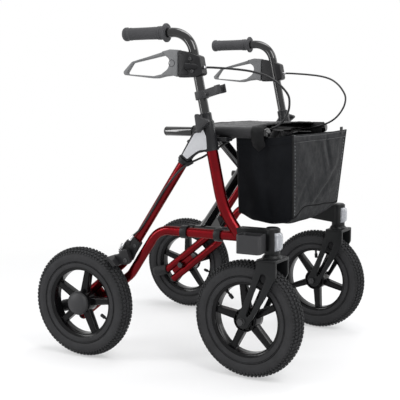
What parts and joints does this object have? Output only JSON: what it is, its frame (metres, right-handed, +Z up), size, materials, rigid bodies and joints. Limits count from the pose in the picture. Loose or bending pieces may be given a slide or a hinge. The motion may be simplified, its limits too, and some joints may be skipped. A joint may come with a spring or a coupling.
{
  "type": "all terrain rollator",
  "caption": "Folding walking frame on large air filled wheels, with red side frames, cross brace, seat sling, front bag, loop brake levers and cane holder.",
  "frame": {"origin": "on the floor, on the centre plane, midway between the front and rear axles", "axes": "+X forward, +Y to the user's left, +Z up"},
  "size_m": [0.7948, 0.7002, 0.9165],
  "materials": {
    "red_paint": "gloss candy red",
    "black_metal": "gloss black",
    "steel": "zinc plated",
    "black_plastic": "moulded, fine grain",
    "grey_plastic": "moulded, satin",
    "reflector": "clear prismatic over silver",
    "grip_rubber": "matt",
    "tyre": "matt with knobs",
    "cable": "satin sheath",
    "cloth": "coated nylon weave"
  },
  "bodies": {
    "right_side": {"right_front_tube": "red_paint", "right_lower_tube": "red_paint", "right_rear_tube": "red_paint", "right_axle_plate": "red_paint", "right_rear_axle": "steel", "right_top_joint": "black_plastic", "right_reflectors": "reflector", "right_front_joint": "black_metal", "right_tube_plugs": "black_plastic", "right_brace_clamps": "black_plastic", "right_brake_bracket": "black_plastic", "right_brake_cable": "cable", "cane_cup": "black_plastic"},
    "right_handle": {"right_handle_tube": "black_metal", "right_grip": "grip_rubber", "right_brake_housing": "black_plastic", "cane_clip": "black_plastic"},
    "right_lever": {"right_brake_lever": "grey_plastic"},
    "right_brake_arm": {"right_brake_arm": "grey_plastic"},
    "right_knob": {"right_height_knob": "black_plastic"},
    "right_caster": {"right_fork": "black_metal", "right_caster_spindle": "steel", "right_front_axle": "steel"},
    "right_front_wheel": {"right_front_rim": "black_plastic", "right_front_tyre": "tyre"},
    "right_rear_wheel": {"right_rear_rim": "black_plastic", "right_rear_tyre": "tyre", "right_hub_cap": "black_plastic"},
    "left_side": {"left_front_tube": "red_paint", "left_lower_tube": "red_paint", "left_rear_tube": "red_paint", "left_axle_plate": "red_paint", "left_rear_axle": "steel", "left_top_joint": "black_plastic", "left_reflectors": "reflector", "left_front_joint": "black_metal", "left_tube_plugs": "black_plastic", "left_brace_clamps": "black_plastic", "left_brake_bracket": "black_plastic", "left_brake_cable": "cable"},
    "left_handle": {"left_handle_tube": "black_metal", "left_grip": "grip_rubber", "left_brake_housing": "black_plastic"},
    "left_lever": {"left_brake_lever": "grey_plastic"},
    "left_brake_arm": {"left_brake_arm": "grey_plastic"},
    "left_knob": {"left_height_knob": "black_plastic"},
    "left_caster": {"left_fork": "black_metal", "left_caster_spindle": "steel", "left_front_axle": "steel"},
    "left_front_wheel": {"left_front_rim": "black_plastic", "left_front_tyre": "tyre"},
    "left_rear_wheel": {"left_rear_rim": "black_plastic", "left_rear_tyre": "tyre", "left_hub_cap": "black_plastic"},
    "brace_a": {"brace_a": "black_metal", "left_seat_rail": "black_metal", "seat_sling": "cloth"},
    "brace_b": {"brace_b": "black_metal", "right_seat_rail": "black_metal"},
    "bag": {"bag": "cloth"}
  },
  "joints": [
    {"name": "right_handle_height", "type": "slide", "parent": "right_side", "child": "right_handle", "axis": [-0.2079, 0, 0.9781], "range_m": [-0.025, 0.09], "deforming": ["right_brake_cable"]},
    {"name": "right_lever_squeeze", "type": "hinge", "parent": "right_handle", "child": "right_lever", "pos_m": [0.058, -0.272, 0.829], "axis": [0, 1, 0], "range_deg": [0, 16], "stiffness_Nm_per_rad": 2, "springref_deg": -8.59},
    {"name": "right_shoe_press", "type": "hinge", "parent": "right_side", "child": "right_brake_arm", "pos_m": [-0.1037, -0.288, 0.28337], "axis": [0, -1, 0], "range_deg": [0, 6.25]},
    {"name": "right_knob_turn", "type": "hinge", "parent": "right_side", "child": "right_knob", "pos_m": [0.1236, -0.3, 0.659], "axis": [0, 1, 0], "continuous": true},
    {"name": "right_caster_swivel", "type": "hinge", "parent": "right_side", "child": "right_caster", "pos_m": [0.3095, -0.267, 0.33], "axis": [0, 0, 1], "continuous": true},
    {"name": "right_front_wheel_roll", "type": "hinge", "parent": "right_caster", "child": "right_front_wheel", "pos_m": [0.24271, -0.26174, 0.155], "axis": [0.0785, 0.9969, 0], "continuous": true},
    {"name": "right_rear_wheel_roll", "type": "hinge", "parent": "right_side", "child": "right_rear_wheel", "pos_m": [-0.2425, -0.31, 0.155], "axis": [0, 1, 0], "continuous": true},
    {"name": "left_handle_height", "type": "slide", "parent": "left_side", "child": "left_handle", "axis": [-0.2079, 0, 0.9781], "range_m": [-0.025, 0.09], "deforming": ["left_brake_cable"]},
    {"name": "left_lever_squeeze", "type": "hinge", "parent": "left_handle", "child": "left_lever", "pos_m": [0.058, 0.272, 0.829], "axis": [0, 1, 0], "range_deg": [0, 16], "stiffness_Nm_per_rad": 2, "springref_deg": -8.59},
    {"name": "left_shoe_press", "type": "hinge", "parent": "left_side", "child": "left_brake_arm", "pos_m": [-0.1037, 0.288, 0.28337], "axis": [0, -1, 0], "range_deg": [0, 6.25]},
    {"name": "left_knob_turn", "type": "hinge", "parent": "left_side", "child": "left_knob", "pos_m": [0.1236, 0.3, 0.659], "axis": [0, 1, 0], "continuous": true},
    {"name": "left_caster_swivel", "type": "hinge", "parent": "left_side", "child": "left_caster", "pos_m": [0.3095, 0.267, 0.33], "axis": [0, 0, 1], "continuous": true},
    {"name": "left_front_wheel_roll", "type": "hinge", "parent": "left_caster", "child": "left_front_wheel", "pos_m": [0.24271, 0.27226, 0.155], "axis": [0.0785, 0.9969, 0], "continuous": true},
    {"name": "left_rear_wheel_roll", "type": "hinge", "parent": "left_side", "child": "left_rear_wheel", "pos_m": [-0.2425, 0.31, 0.155], "axis": [0, 1, 0], "continuous": true},
    {"name": "fold", "type": "hinge", "parent": "right_side", "child": "brace_a", "pos_m": [0.109, -0.226, 0.372], "axis": [1, 0, 0], "range_deg": [0, 42], "deforming": ["seat_sling", "bag"]},
    {"name": "scissor", "type": "hinge", "parent": "brace_a", "child": "brace_b", "pos_m": [0.109, 0, 0.50329], "axis": [1, 0, 0], "range_deg": [-84.2, 0.2]},
    {"name": "left_pivot", "type": "hinge", "parent": "brace_b", "child": "left_side", "pos_m": [0.109, 0.226, 0.372], "axis": [1, 0, 0], "range_deg": [-0.2, 42.2]},
    {"name": "bag_hang", "type": "hinge", "parent": "brace_b", "child": "bag", "pos_m": [0.229, -0.225, 0.634], "axis": [1, 0, 0], "range_deg": [-0.2, 42.2]}
  ],
  "couplings": [
    {"joint": "right_shoe_press", "follows": "right_lever_squeeze", "ratio": 0.3902},
    {"joint": "left_shoe_press", "follows": "left_lever_squeeze", "ratio": 0.3902},
    {"joint": "scissor", "follows": "fold", "ratio": -2},
    {"joint": "left_pivot", "follows": "fold", "ratio": 1},
    {"joint": "bag_hang", "follows": "fold", "ratio": 1}
  ]
}
